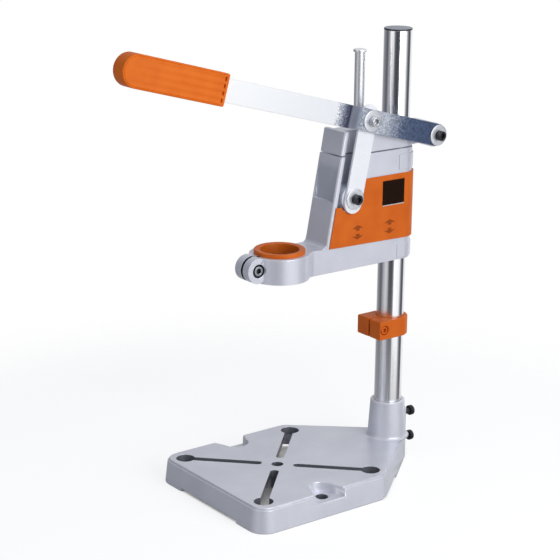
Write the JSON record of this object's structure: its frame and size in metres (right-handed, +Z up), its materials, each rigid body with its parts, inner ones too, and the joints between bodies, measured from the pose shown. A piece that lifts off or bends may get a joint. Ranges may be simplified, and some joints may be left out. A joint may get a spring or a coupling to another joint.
{
  "type": "bench drill stand",
  "caption": "Cast bench stand that holds a hand drill upright: slotted base, chromed column, lever-fed carriage with a clamp collar, depth stop and orange grip.",
  "frame": {"origin": "midpoint between the two bench bolt holes at bench level, under the drilling axis", "axes": "+X to the operator's right, +Y back towards the column, +Z up along the drilling axis"},
  "size_m": [0.174, 0.3909, 0.4587],
  "materials": {
    "cast_paint": "satin silver-grey paint over cast aluminium",
    "chrome_tube": "polished chrome",
    "grey_plastic": "matte",
    "orange_plastic": "satin moulded",
    "orange_grip": "soft satin",
    "orange_paint": "satin paint",
    "black_plate": "satin",
    "zinc_steel": "bright zinc plate",
    "black_steel": "black oxide"
  },
  "bodies": {
    "base": {"base_plate": "cast_paint", "column_screw_lower": "black_steel", "column_screw_upper": "black_steel"},
    "column": {"column": "chrome_tube", "column_cap": "grey_plastic"},
    "stop": {"depth_stop": "orange_plastic", "stop_screw": "orange_paint", "stop_nut": "zinc_steel"},
    "head": {"head": "cast_paint", "head_screw": "black_steel", "fulcrum_bolt": "black_steel", "fulcrum_washer": "zinc_steel", "spring_pin_upper": "zinc_steel", "return_spring": "zinc_steel"},
    "carriage": {"carriage": "cast_paint", "side_cover": "orange_plastic", "cover_plate": "black_plate", "collar_bush": "orange_plastic", "collar_screw": "black_steel", "collar_nut": "black_steel", "guide_rod": "chrome_tube", "spring_pin_lower": "zinc_steel"},
    "lever": {"lever_bar": "zinc_steel", "grip": "orange_grip", "lever_bolt": "zinc_steel", "lever_washer": "zinc_steel"},
    "link": {"link": "zinc_steel", "link_bolt": "black_steel", "link_washer": "zinc_steel"}
  },
  "joints": [
    {"name": "column_swivel", "type": "hinge", "parent": "base", "child": "column", "pos_m": [0, 0.143, 0], "axis": [0, 0, 1], "range_deg": [-180, 180]},
    {"name": "stop_slide", "type": "slide", "parent": "column", "child": "stop", "axis": [0, 0, 1], "range_m": [-0.07, 0]},
    {"name": "head_height", "type": "slide", "parent": "column", "child": "head", "axis": [0, 0, 1], "range_m": [0, 0.07]},
    {"name": "feed", "type": "slide", "parent": "head", "child": "carriage", "axis": [0, 0, -1], "range_m": [0, 0.06], "stiffness_N_per_m": 300, "springref_m": -0.09, "deforming": ["return_spring"]},
    {"name": "lever_turn", "type": "hinge", "parent": "head", "child": "lever", "pos_m": [0, 0.176, 0.3435], "axis": [1, 0, 0], "range_deg": [0, 38.7]},
    {"name": "link_turn", "type": "hinge", "parent": "lever", "child": "link", "pos_m": [0, 0.08991, 0.36721], "axis": [1, 0, 0], "range_deg": [-39.22, 0]}
  ],
  "couplings": [
    {"joint": "lever_turn", "follows": "feed", "rad_per_m": 11.2},
    {"joint": "link_turn", "follows": "feed", "rad_per_m": -11.35}
  ]
}
